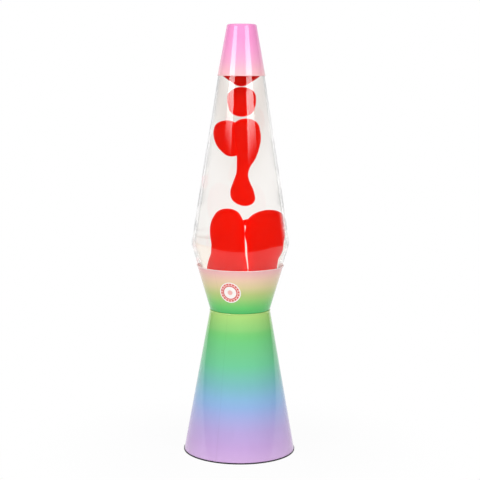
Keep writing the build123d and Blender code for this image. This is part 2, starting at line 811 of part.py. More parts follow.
def main():
    """Make and write every sub-part."""
    groups = {
        "plate_tabs": plate_tabs(), "plate_screws": plate_screws(), "strap_screws": strap_screws(),
        "strap_nuts": strap_nuts(), "holder_terminal_screws": holder_terminal_screws(),
        "bulb_leads": bulb_leads(),
    }
    singles = {
        "lower_cone": lower_cone(), "upper_cup": upper_cup(), "waist_eyelet": waist_eyelet(),
        "bottle_seat_ring": bottle_seat_ring(), "foot_ring": foot_ring(), "bottom_plate": bottom_plate(),
        "holder_strap": holder_strap(), "holder_nipple": holder_nipple(),
        "holder_lock_nut": holder_lock_nut(), "holder_body": holder_body(),
        "holder_threaded_shell": holder_threaded_shell(), "holder_centre_contact": holder_centre_contact(),
        "cable_bush": cable_bush(), "round_sticker": round_sticker(), "bulb_envelope": bulb_envelope(),
        "bulb_stem": bulb_stem(), "bulb_filament": bulb_filament(), "bulb_screw_shell": bulb_screw_shell(),
        "bulb_insulator": bulb_insulator(), "bulb_foot_contact": bulb_foot_contact(),
        "bottle_glass": bottle_glass(), "crown_cap": crown_cap(), "crown_liner": crown_liner(),
        "cap_shell": cap_shell(), "wax_top_pool": wax_top_pool(), "wax_round_blob": wax_round_blob(),
        "wax_long_blob": wax_long_blob(), "wax_bottom_mass": wax_bottom_mass() - coil_ring(wax_gap),
        "coil_ring": coil_ring(), "liquid": liquid(),
    }
    for name, pieces in groups.items():
        save(Compound(children=pieces), name)
    for name, shape in singles.items():
        save(shape, name)


main()
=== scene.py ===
"""Liquid motion lamp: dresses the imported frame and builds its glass, liquid, wax and wound wires.

Every length written here is in millimetres, in the frame of the solids: +Z is up and the front faces -Y.
"""

from __future__ import annotations

import json
import logging
import math
from collections.abc import Sequence
from dataclasses import dataclass
from enum import Enum

import bmesh
import bpy
from mathutils import Matrix, Vector

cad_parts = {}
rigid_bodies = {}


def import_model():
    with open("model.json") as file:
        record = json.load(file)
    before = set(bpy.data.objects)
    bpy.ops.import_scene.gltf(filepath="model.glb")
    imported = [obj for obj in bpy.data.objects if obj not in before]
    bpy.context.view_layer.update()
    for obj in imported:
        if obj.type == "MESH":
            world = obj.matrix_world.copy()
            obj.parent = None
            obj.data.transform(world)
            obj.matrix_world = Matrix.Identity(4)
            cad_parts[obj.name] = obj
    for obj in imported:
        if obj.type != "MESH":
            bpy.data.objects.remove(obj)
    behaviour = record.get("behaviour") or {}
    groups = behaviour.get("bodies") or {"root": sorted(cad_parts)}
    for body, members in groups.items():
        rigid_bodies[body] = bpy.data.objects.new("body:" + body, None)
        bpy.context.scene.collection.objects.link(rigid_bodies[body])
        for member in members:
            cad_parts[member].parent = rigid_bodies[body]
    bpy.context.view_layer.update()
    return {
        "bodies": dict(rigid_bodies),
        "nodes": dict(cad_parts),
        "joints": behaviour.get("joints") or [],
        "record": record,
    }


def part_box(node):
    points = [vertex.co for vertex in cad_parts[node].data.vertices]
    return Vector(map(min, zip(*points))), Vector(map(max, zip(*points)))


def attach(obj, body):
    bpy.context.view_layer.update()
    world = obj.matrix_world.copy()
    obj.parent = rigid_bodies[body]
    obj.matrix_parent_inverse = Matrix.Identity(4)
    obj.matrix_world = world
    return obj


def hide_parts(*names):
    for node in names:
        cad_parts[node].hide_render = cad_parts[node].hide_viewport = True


LOG = logging.getLogger("lamp")
MM = 0.001
NOISE_SPAN = (0.3, 0.7)     # holds nearly all of a noise's values
BALL_STEP = 1.2             # between the small balls that a wax form is melted from
HAIR = 0.01                 # a distance that doesn't show

Colour = tuple[float, float, float, float]
Point = tuple[float, float, float]
Corner = tuple[float, float]                # radius and height, or both ends of a span
Ball = tuple[float, float, float, float]    # x, y, z and radius
Outline = Sequence[Corner]
Chains = Sequence[Sequence[Ball]]
Stops = tuple[tuple[float, str], ...]
Inputs = dict[int | str, object]
WHITE: Colour = (1.0, 1.0, 1.0, 1.0)
Tree = bpy.types.NodeTree
Node = bpy.types.Node
Socket = bpy.types.NodeSocket


class Body(Enum):
    """Moving bodies that take new pieces."""

    BULB = "bulb"
    BOTTLE = "bottle"
    ROUND_BLOB = "round_blob"
    LONG_BLOB = "long_blob"


def linear(code: str) -> Colour:
    """Turns an sRGB hex colour into linear light.

    Args:
        code: colour such as "#c41007".

    Returns:
        Red, green, blue and a whole alpha.
    """
    parts = [int(code[at:at + 2], 16) / 255 for at in (1, 3, 5)]
    red, green, blue = (p / 12.92 if p <= 0.04045 else ((p + 0.055) / 1.055) ** 2.4 for p in parts)
    return red, green, blue, 1.0


def fill(tree: Tree, node: Node, inputs: Inputs) -> None:
    """Gives a node's own inputs their values and links.

    Args:
        tree: node tree that holds the node.
        node: whose inputs they are.
        inputs: value, or output socket to link, for each input.
    """
    for key, value in inputs.items():
        if isinstance(value, Socket):
            tree.links.new(value, node.inputs[key])
        else:
            node.inputs[key].default_value = value


def add(tree: Tree, kind: str, inputs: Inputs | None = None, stops: Stops = (), **settings: object) -> Node:
    """Adds a node with its settings and links.

    Args:
        tree: node tree that takes the node.
        kind: Blender's name of the node type.
        inputs: value, or output socket to link, for each input.
        stops: (position, hex colour) pairs where the node holds a colour ramp.
        settings: the node's own properties.

    Returns:
        The new node.
    """
    made = tree.nodes.new(kind)
    for key, value in settings.items():
        setattr(made, key, value)
    fill(tree, made, inputs or {})
    if stops:
        elements = made.color_ramp.elements
        while len(elements) > 1:
            elements.remove(elements[-1])
        for index, (position, code) in enumerate(stops):
            element = elements[0] if index == 0 else elements.new(position)
            element.position = position
            element.color = linear(code)
    return made


def calc(tree: Tree, operation: str, *values: object, clamp: bool = False) -> Socket:
    """Works out a number.

    Args:
        tree: node tree that takes the node.
        operation: Blender's name of the sum.
        values: numbers or output sockets that go into it.
        clamp: whether the result stays from 0 to 1.

    Returns:
        The result.
    """
    return add(tree, "ShaderNodeMath", dict(enumerate(values)), operation=operation, use_clamp=clamp).outputs[0]


def remap(
    tree: Tree, value: Socket, source: Corner, target: Corner = (0.0, 1.0), smooth: bool = False
) -> Socket:
    """Takes a number from one range to another and holds it at the ends.

    Args:
        tree: node tree that takes the node.
        value: the number.
        source: ends of its range.
        target: ends of the new range.
        smooth: whether it eases in and out.

    Returns:
        The new number.
    """
    return add(tree, "ShaderNodeMapRange", {
        "Value": value, "From Min": source[0], "From Max": source[1], "To Min": target[0], "To Max": target[1]},
        interpolation_type="SMOOTHSTEP" if smooth else "LINEAR").outputs["Result"]


def blend(
    tree: Tree, share: object, first: object, second: object, data_type: str = "RGBA", **settings: str
) -> Socket:
    """Mixes two colours, or two numbers.

    Args:
        tree: node tree that takes the node.
        share: of the second.
        first: colour, number or socket.
        second: colour, number or socket.
        data_type: "FLOAT" for numbers.
        settings: the Mix node's other properties.

    Returns:
        The mix.
    """
    inputs = {"Factor": share, "A": first, "B": second}
    return add(tree, "ShaderNodeMix", inputs, data_type=data_type, **settings).outputs["Result"]


def spot(tree: Tree) -> Socket:
    """Place on the piece, in metres."""
    return add(tree, "ShaderNodeTexCoord").outputs["Object"]


def axes(tree: Tree, vector: Socket | None = None) -> bpy.types.NodeOutputs:
    """X, Y and Z of a vector, or else of the place on the piece."""
    return add(tree, "ShaderNodeSeparateXYZ", {"Vector": spot(tree) if vector is None else vector}).outputs


def rays(tree: Tree) -> bpy.types.NodeOutputs:
    """Kinds of the ray that is drawn."""
    return add(tree, "ShaderNodeLightPath").outputs


def scaled(span: Corner) -> Corner:
    """Both ends of a span in metres."""
    return span[0] * MM, span[1] * MM


def hung(name: str, data: bpy.types.ID) -> bpy.types.Object:
    """Puts a new object with its data in the scene."""
    made = bpy.data.objects.new(name, data)
    bpy.context.scene.collection.objects.link(made)
    return made


def frozen(carrier: bpy.types.Object, name: str) -> bpy.types.Mesh:
    """Keeps the mesh that an object shows, and takes the object away.

    Args:
        carrier: object with a curve or modifiers.
        name: the mesh's name.

    Returns:
        The mesh, smooth.
    """
    shown = carrier.evaluated_get(bpy.context.evaluated_depsgraph_get())
    mesh = bpy.data.meshes.new_from_object(shown)
    mesh.name = name
    mesh.shade_smooth()
    bpy.data.batch_remove([carrier, carrier.data])
    return mesh


def rounded(points: Outline, radii: Sequence[float], steps: int) -> list[Corner]:
    """Rounds the corners of a half outline.

    Args:
        points: (radius, height) corners.
        radii: rounding of each corner, 0 for a sharp one.
        steps: segments of each arc.

    Returns:
        The outline with its arcs.
    """
    line: list[Corner] = []
    for index, (point, radius) in enumerate(zip(points, radii)):
        if radius <= 0:
            line.append(point)
            continue
        here = Vector(point)
        before = (Vector(points[index - 1]) - here).normalized()
        after = (Vector(points[(index + 1) % len(points)]) - here).normalized()
        half = before.angle(after) / 2
        centre = here + (before + after).normalized() * (radius / math.sin(half))
        start = here + before * (radius / math.tan(half)) - centre
        finish = here + after * (radius / math.tan(half)) - centre
        sweep = start.angle_signed(finish)
        for step in range(steps + 1):
            spun = Matrix.Rotation(-sweep * step / steps, 2) @ start
            line.append(tuple(centre + spun))
    return line


def placed(name: str, mesh: bpy.types.Mesh, body: Body, nodes: tuple[str, ...]) -> bpy.types.Object:
    """Puts a finished mesh in the scene in place of CAD nodes.

    Args:
        name: the piece's name.
        mesh: its mesh, in metres.
        body: body that it moves with.
        nodes: CAD nodes that it stands for.

    Returns:
        The piece.
    """
    piece = hung(name, mesh)
    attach(piece, body.value)
    if nodes:
        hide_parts(*nodes)
    LOG.info("built %s with %d faces on %s", name, len(mesh.polygons), body.value)
    return piece


def turned(name: str, outline: Outline, segments: int) -> bpy.types.Mesh:
    """Turns a half outline about the lamp's axis.

    Args:
        name: the mesh's name.
        outline: (radius, height) points from the axis round to the axis.
        segments: faces round the axis.

    Returns:
        A closed, smooth mesh.
    """
    work = bmesh.new()
    rings: list[list[bmesh.types.BMVert]] = []
    for radius, height in outline:
        if radius < HAIR:
            rings.append([work.verts.new((0.0, 0.0, height * MM))])
            continue
        turns = [math.tau * step / segments for step in range(segments)]
        rings.append([
            work.verts.new((radius * MM * math.cos(t), radius * MM * math.sin(t), height * MM)) for t in turns
        ])
    for low, high in zip(rings, rings[1:]):
        for step in range(segments):
            following = (step + 1) % segments
            corners = [low[step % len(low)], low[following % len(low)],
                       high[following % len(high)], high[step % len(high)]]
            unique = list(dict.fromkeys(corners))
            if len(unique) > 2:
                work.faces.new(unique)
    bmesh.ops.recalc_face_normals(work, faces=work.faces)
    mesh = bpy.data.meshes.new(name)
    work.to_mesh(mesh)
    work.free()
    mesh.shade_smooth()
    return mesh


def swept(name: str, path: Sequence[Point], radius: float, closed: bool, sides: int) -> bpy.types.Mesh:
    """Runs a round wire along a path.

    Args:
        name: the mesh's name.
        path: points of the wire's centre line.
        radius: of the wire.
        closed: whether the last point joins the first.
        sides: faces round the wire.

    Returns:
        A smooth mesh.
    """
    curve = bpy.data.curves.new(name, "CURVE")
    curve.dimensions = "3D"
    curve.bevel_depth = radius * MM
    curve.bevel_resolution = max(0, sides // 2 - 2)
    curve.use_fill_caps = not closed
    line = curve.splines.new("POLY")
    line.points.add(len(path) - 1)
    for point, place in zip(line.points, path):
        point.co = (*(value * MM for value in place), 1.0)
    line.use_cyclic_u = closed
    return frozen(hung(name + "_path", curve), name)


def between(balls: Sequence[Ball]) -> list[Ball]:
    """Fills in a chain of balls along a smooth path.

    Args:
        balls: (x, y, z, radius) of the chain's main balls.

    Returns:
        The whole chain.
    """
    chain: list[Ball] = []
    for index in range(len(balls) - 1):
        knots = [Vector(balls[min(max(index + step, 0), len(balls) - 1)]) for step in (-1, 0, 1, 2)]
        length = (knots[2] - knots[1]).to_3d().length
        count = max(2, math.ceil(length / BALL_STEP))
        for step in range(count):
            t = step / count
            ball = (
                knots[1] * 2 + (knots[2] - knots[0]) * t
                + (knots[0] * 2 - knots[1] * 5 + knots[2] * 4 - knots[3]) * t ** 2
                + (knots[1] * 3 - knots[0] - knots[2] * 3 + knots[3]) * t ** 3
            ) / 2
            chain.append(tuple(ball))
    chain.append(balls[-1])
    return chain


def fused(name: str, chains: Chains, voxel: float = 0.7, passes: int = 10) -> bpy.types.Mesh:
    """Melts chains of balls into one soft form.

    Args:
        name: the mesh's name.
        chains: main balls of each limb.
        voxel: size of the remesh.
        passes: rounds of smoothing.

    Returns:
        A closed, smooth mesh.
    """
    work = bmesh.new()
    for balls in chains:
        for x, y, z, radius in between(balls):
            bmesh.ops.create_icosphere(
                work, subdivisions=4, radius=radius * MM, matrix=Matrix.Translation(Vector((x, y, z)) * MM))
    raw = bpy.data.meshes.new(name + "_balls")
    work.to_mesh(raw)
    work.free()
    carrier = hung(name + "_balls", raw)
    remesh = carrier.modifiers.new("melt", "REMESH")
    remesh.mode = "VOXEL"
    remesh.voxel_size = voxel * MM
    smooth = carrier.modifiers.new("soften", "SMOOTH")
    smooth.iterations = passes
    smooth.factor = 0.5
    return frozen(carrier, name)


@dataclass(frozen=True)
class Finish:
    """A finish of one piece or more.

    Attributes:
        name: the material's name.
    """

    name: str

    def shade(self, tree: Tree, shader: Node) -> None:
        """Sets up the nodes; each kind of finish has its own.

        Args:
            tree: node tree of the material.
            shader: its main shader.
        """
        raise NotImplementedError(self.name)

    def material(self) -> bpy.types.Material:
        """Makes the material."""
        made = bpy.data.materials.new(self.name)
        made.use_nodes = True
        self.shade(made.node_tree, made.node_tree.nodes["Principled BSDF"])
        return made

    @staticmethod
    def grain(tree: Tree, size: float, stretch: Point = (1.0, 1.0, 1.0), detail: float = 3.0) -> Socket:
        """Noise that is fixed to the piece.

        Args:
            tree: node tree of the material.
            size: size of one grain.
            stretch: how much longer a grain is along each axis.
            detail: octaves of the noise.

        Returns:
            The noise's value, from 0 to 1.
        """
        scale = tuple(1 / (size * MM * along) for along in stretch)
        grains = add(tree, "ShaderNodeMapping", {"Vector": spot(tree), "Scale": scale}).outputs["Vector"]
        noise = add(tree, "ShaderNodeTexNoise", {"Vector": grains, "Scale": 1.0, "Detail": detail})
        return noise.outputs["Fac"]

    @staticmethod
    def relief(tree: Tree, shader: Node, height: Socket, depth: float, skin: str = "Normal") -> None:
        """Bumps the surface.

        Args:
            tree: node tree of the material.
            shader: node whose normal is bumped.
            height: from 0 to 1.
            depth: height of a whole bump.
            skin: input that takes the bump.
        """
        bump = add(tree, "ShaderNodeBump", {"Height": height, "Strength": 1.0, "Distance": depth * MM})
        fill(tree, shader, {skin: bump.outputs["Normal"]})

    @staticmethod
    def by_height(tree: Tree, stops: Stops) -> Socket:
        """Colour that changes with height.

        Args:
            tree: node tree of the material.
            stops: (height, hex colour) pairs, lowest first.

        Returns:
            The colour.
        """
        low, high = stops[0][0], stops[-1][0]
        level = remap(tree, axes(tree)["Z"], scaled((low, high)))
        shares = tuple(((height - low) / (high - low), code) for height, code in stops)
        return add(tree, "ShaderNodeValToRGB", {"Fac": level}, shares).outputs["Color"]

    @staticmethod
    def darkened(tree: Tree, colour: Socket, share: Socket) -> Socket:
        """A colour times a share of 1."""
        return blend(tree, 1.0, colour, share, blend_type="MULTIPLY")


@dataclass(frozen=True)
class Worked(Finish):
    """A material in two close tones with a grain, such as moulded rubber or plated steel.

    Attributes:
        light: lighter tone.
        dark: darker tone.
        size: of one grain.
        smooth: lowest roughness.
        rough: highest roughness.
        metallic: 1 for a metal.
        depth: of the relief.
        stretch: of the grain along each axis.
    """

    light: str
    dark: str
    size: float
    smooth: float
    rough: float
    metallic: float = 0.0
    depth: float = 0.0
    stretch: Point = (1.0, 1.0, 1.0)

    def shade(self, tree: Tree, shader: Node) -> None:
        """Mixes the tones by the grain."""
        grain = self.grain(tree, self.size, self.stretch)
        tones = add(tree, "ShaderNodeValToRGB", {"Fac": grain}, tuple(zip(NOISE_SPAN, (self.dark, self.light))))
        fill(tree, shader, {
            "Base Color": tones.outputs["Color"], "Metallic": self.metallic,
            "Roughness": remap(tree, grain, NOISE_SPAN, (self.smooth, self.rough))})
        if self.depth:
            self.relief(tree, shader, grain, self.depth)


@dataclass(frozen=True)
class GradientLacquer(Finish):
    """Spun aluminium printed in a rainbow gradient and sprayed with clear lacquer.

    It gives the eye a smooth change of hue up the wall under one hard, wet gloss, with the faint
    orange peel of a sprayed coat and a hair line where the print meets itself.

    Attributes:
        stops: (height, hex colour) of the print; the cup's last stop, on its rim, is a painted highlight.
        seam: degrees from the front towards -X where the print meets itself.
        seam_width: degrees over which the seam shows.
        seam_tone: share of the colour that is left on the seam.
        ink_tone: share of the colour that is left where the ink is thickest.
        ink_size: width of the ink's clouds.
        peel_size: of the orange peel, drawn about twice as coarse as the real one, to show at all.
        peel_depth: of the orange peel.
        inside: colour of the shell's inside, or nothing where it is printed too.
        turn_over: radius times slope of the skin over which the print changes to the inside.
        passed_light: light on the inside that the bottle passes on and its shadow leaves out.
    """

    stops: Stops
    seam: float = 180.0
    seam_width: float = 1.2
    seam_tone: float = 0.96
    ink_tone: float = 0.97
    ink_size: float = 14.0
    peel_size: float = 2.2
    peel_depth: float = 0.004
    inside: str = ""
    turn_over: float = 6.0
    passed_light: float = 0.2

    def shade(self, tree: Tree, shader: Node) -> None:
        """Prints the gradient by height, with a weak cloud in the ink, and lacquers it."""
        cloud = self.grain(tree, self.ink_size, (1.0, 1.0, 3.0))
        ink = remap(tree, cloud, NOISE_SPAN, (self.ink_tone, 1.0))
        share = calc(tree, "MULTIPLY", ink, self.joint(tree))
        colour = self.darkened(tree, self.by_height(tree, self.stops), share)
        if self.inside:
            colour = self.line(tree, shader, colour)
        fill(tree, shader, {
            "Base Color": colour, "Roughness": 0.4,
            "Specular IOR Level": 0.0,      # the ink has no skin of its own under the coat
            "Coat Weight": 1.0, "Coat Roughness": 0.03, "Coat IOR": 1.5})
        self.relief(tree, shader, self.grain(tree, self.peel_size, detail=1.0), self.peel_depth, "Coat Normal")

    def joint(self, tree: Tree) -> Socket:
        """Darkens the print a little where it meets itself.

        Args:
            tree: node tree of the material.

        Returns:
            Share of the colour that is left.
        """
        place = axes(tree)
        left, back = (calc(tree, "MULTIPLY", place[axis], -1.0) for axis in "XY")
        away = calc(tree, "SUBTRACT", calc(tree, "ARCTAN2", left, back), math.radians(self.seam))
        return remap(tree, calc(tree, "ABSOLUTE", away), (0.0, math.radians(self.seam_width)),
                     (self.seam_tone, 1.0), smooth=True)

    def line(self, tree: Tree, shader: Node, outer: Socket) -> Socket:
        """Lines the shell with a plain colour.

        Args:
            tree: node tree of the material.
            shader: node that takes the light that the bottle passes on.
            outer: colour of the outside.

        Returns:
            The colour of both sides.
        """
        place = add(tree, "ShaderNodeTexCoord").outputs
        reach = add(tree, "ShaderNodeVectorMath", {0: place["Object"], 1: (1.0, 1.0, 0.0)},
                    operation="MULTIPLY")
        facing = add(tree, "ShaderNodeVectorMath", {0: reach.outputs["Vector"], 1: place["Normal"]},
                     operation="DOT_PRODUCT")
        inner = remap(tree, facing.outputs["Value"], scaled((-self.turn_over, self.turn_over)), (1.0, 0.0))
        fill(tree, shader, {"Emission Color": linear(self.inside),
                            "Emission Strength": calc(tree, "MULTIPLY", inner, self.passed_light)})
        return blend(tree, inner, outer, linear(self.inside))


@dataclass(frozen=True)
class Clear(Finish):
    """A clear body, such as moulded soda-lime glass or the liquid.

    It is seen by what it bends and by the reflections on its skin, with a faint tint where it is deep.

    Attributes:
        ior: index of refraction.
        tint: colour that is left after one metre divided by the density.
        density: per metre, 0 for a body too thin to tint.
        ripple: depth of the slow waves that a mould leaves.
        ripple_size: their length.
        surface: height of a liquid's free surface; below it the glass already draws the face between them.
        rim: share of the skin that is left where it is seen edge on, against a white wall.
        rim_zone: slant of the view over which the skin thins out, from 0 square on to 1 edge on.
        tone: tint of the skin.
    """

    ior: float
    tint: str = "#ffffff"
    density: float = 0.0
    ripple: float = 0.0
    ripple_size: float = 24.0
    surface: float = 0.0
    rim: float = 1.0
    rim_zone: Corner = (0.52, 0.68)
    tone: str = "#ffffff"

    def shade(self, tree: Tree, shader: Node) -> None:
        """Lets light through and tints it by depth."""
        fill(tree, shader, {
            "Base Color": linear(self.tone), "Transmission Weight": 1.0, "Roughness": 0.0, "IOR": self.ior})
        if self.density:
            depth = add(tree, "ShaderNodeVolumeAbsorption", {
                "Color": linear(self.tint), "Density": self.density})
            fill(tree, tree.nodes["Material Output"], {"Volume": depth.outputs["Volume"]})
        if self.surface:
            free = calc(tree, "GREATER_THAN", axes(tree)["Z"], (self.surface - HAIR) * MM)
            fill(tree, shader, {"Alpha": free})
        if self.rim < 1:
            slant = add(tree, "ShaderNodeLayerWeight", {"Blend": 0.5}).outputs["Facing"]
            fill(tree, shader, {"Alpha": remap(tree, slant, self.rim_zone, (1.0, self.rim), smooth=True)})
        if self.ripple:
            self.relief(tree, shader, self.grain(tree, self.ripple_size, (1.0, 1.0, 2.0), 0.0), self.ripple)


@dataclass(frozen=True)
class DyedWax(Finish):
    """Paraffin wax dyed red and melted by the bulb under it.

    It looks soft and glows: the glow is painted light, standing in for the bulb's light through the wax.
    Painted shade darkens it towards the top, under the cap, and it is a little paler near the floor.

    Attributes:
        stops: (height, hex colour) of the wax's red, with painted shade towards the top.
        cloud_size: of the slow cloud in the wax.
        cloud_tone: share of the colour that is left in the cloud.
        depth: how far light goes in.
    """

    stops: Stops
    cloud_size: float = 9.0
    cloud_tone: float = 0.94
    depth: float = 4.0

    def shade(self, tree: Tree, shader: Node) -> None:
        """Colours the wax by height with a slow cloud in it."""
        cloud = remap(tree, self.grain(tree, self.cloud_size), NOISE_SPAN, (self.cloud_tone, 1.0))
        # Red by height, with painted shade towards the top, times a slow cloud.
        dye_and_shade = self.darkened(tree, self.by_height(tree, self.stops), cloud)
        # The emission is a painted glow, standing in for the bulb's light through the wax.
        fill(tree, shader, {
            "Base Color": dye_and_shade, "Emission Color": dye_and_shade, "Emission Strength": 0.25, "Roughness": 0.45, "IOR": 1.44,
            "Specular IOR Level": 0.03,     # it lies in liquid of nearly its own index
            "Subsurface Weight": 0.35, "Subsurface Radius": (1.0, 0.12, 0.05),
            "Subsurface Scale": self.depth * MM})


@dataclass(frozen=True)
class StickerPaper(Finish):
    """Coated paper label printed in red with plain rings and dashes.

    Attributes:
        centre: of the disc.
        radius: of the disc.
        turn: degrees from the front towards -X that the label faces.
        dashes: in the ring.
        fibre_size: of the paper's fibres.
        fibre_depth: of their relief.
    """

    centre: Point
    radius: float
    turn: float
    dashes: int = 18
    fibre_size: float = 0.4
    fibre_depth: float = 0.01

    def shade(self, tree: Tree, shader: Node) -> None:
        """Prints a middle disc, a ring and a band of dashes."""
        flat = add(tree, "ShaderNodeMapping", {
            "Vector": spot(tree), "Location": tuple(-value * MM for value in self.centre)})
        faced = add(tree, "ShaderNodeMapping", {
            "Vector": flat.outputs["Vector"], "Rotation": (0.0, 0.0, math.radians(self.turn))})
        parts = axes(tree, faced.outputs["Vector"])
        across, up = parts["X"], parts["Z"]
        plane = add(tree, "ShaderNodeCombineXYZ", {"X": across, "Y": up})
        length = add(tree, "ShaderNodeVectorMath", {0: plane.outputs["Vector"]}, operation="LENGTH")
        share = calc(tree, "MULTIPLY", length.outputs["Value"], 1 / (self.radius * MM))
        wave = calc(tree, "SINE", calc(tree, "MULTIPLY", calc(tree, "ARCTAN2", up, across), float(self.dashes)))
        white, red, pink = "#faf4f1", "#d9453f", "#efb3ad"
        rings = add(tree, "ShaderNodeValToRGB", {"Fac": share}, (
            (0.0, pink), (0.2, pink), (0.26, white), (0.58, white), (0.61, red), (0.69, red), (0.71, white),
            (0.73, pink), (0.9, pink), (0.93, white))).outputs["Color"]
        band = add(tree, "ShaderNodeValToRGB", {"Fac": share}, (
            (0.0, "#000000"), (0.73, "#000000"), (0.75, "#ffffff"), (0.88, "#ffffff"), (0.91, "#000000")))
        inked = calc(tree, "MULTIPLY", calc(tree, "GREATER_THAN", wave, 0.0), band.outputs["Color"])
        fill(tree, shader, {
            "Base Color": blend(tree, inked, rings, linear(red)),
            "Roughness": 0.4, "Coat Weight": 0.3})
        self.relief(tree, shader, self.grain(tree, self.fibre_size), self.fibre_depth)


@dataclass(frozen=True)
class ReflectorGlass(Finish):
    """Blown bulb glass, silvered inside round its cone and etched on its face.

    It looks like a mirror from the side and like milk glass from the front.

    Attributes:
        edge: height where the silver ends.
        fade: height over which it ends.
        clearness: share of the light that goes through the etched face; the rest is scattered back.
        etch_size: of one grain of the etching.
        etch_rough: lowest and highest roughness.
    """

    edge: float
    fade: float = 0.4
    clearness: float = 0.4
    etch_size: float = 0.6
    etch_rough: Corner = (0.12, 0.3)

    def shade(self, tree: Tree, shader: Node) -> None:
        """Changes from silver to etched glass at the edge."""
        face = remap(tree, axes(tree)["Z"], scaled((self.edge - self.fade, self.edge)))
        tone = add(tree, "ShaderNodeValToRGB", {"Fac": face}, ((0.0, "#d9dadb"), (1.0, "#f4f3ee")))
        fill(tree, shader, {
            "Base Color": tone.outputs["Color"], "Metallic": calc(tree, "SUBTRACT", 1.0, face),
            "Transmission Weight": calc(tree, "MULTIPLY", face, self.clearness),
            "Roughness": remap(tree, self.grain(tree, self.etch_size), NOISE_SPAN, self.etch_rough)})


def dress(frame: dict, finish: Finish, *names: str) -> None:
    """Gives CAD nodes a finish.

    Args:
        frame: the loaded frame.
        finish: what they are made of.
        names: the nodes.
    """
    material = finish.material()
    for name in names:
        slots = frame["nodes"][name].data.materials
        slots.clear()
        slots.append(material)
        LOG.info("dressed %s in %s", name, finish.name)


@dataclass(frozen=True)
class SoftBox:
    """A studio lamp with a soft, flat face.

    Attributes:
        azimuth: degrees from the front towards +X.
        distance: from the lamp's axis.
        low: height of its lower edge.
        high: height of its upper edge.
        width: of the lamp.
        radiance: mean brightness of its face, where the white background is 1.
        fade: how much brighter than the mean its lower edge is, and how much dimmer its upper edge.
        mirrored: whether gloss shows it.
        hem: share of its height over which it brightens from its lower edge.
    """

    azimuth: float
    distance: float
    low: float
    high: float
    width: float
    radiance: float
    fade: float = 0.0
    mirrored: bool = True
    hem: float = 0.3

    def build(self, name: str) -> None:
        """Hangs the lamp, facing the object's axis."""
        lamp = bpy.data.lights.new(name, "AREA")
        lamp.shape = "RECTANGLE"
        lamp.size = self.width * MM
        lamp.size_y = (self.high - self.low) * MM
        lamp.energy = self.radiance * math.pi * lamp.size * lamp.size_y
        holder = hung(name, lamp)
        turn = math.radians(self.azimuth)
        holder.location = (
            self.distance * MM * math.sin(turn), -self.distance * MM * math.cos(turn),
            (self.low + self.high) / 2 * MM)
        holder.rotation_euler = (math.pi / 2, 0.0, turn)
        holder.visible_transmission = False     # the liquid bends the plain background, not the lamps
        holder.visible_glossy = self.mirrored
        lamp.use_nodes = True
        tree = lamp.node_tree
        rise = axes(tree, add(tree, "ShaderNodeNewGeometry").outputs["Parametric"])["Y"]
        level = remap(tree, rise, (0.0, 1.0), (1.0 + self.fade, 1.0 - self.fade))
        hem = remap(tree, rise, (0.0, self.hem), smooth=True)
        fill(tree, tree.nodes["Emission"], {"Strength": calc(tree, "MULTIPLY", level, hem)})


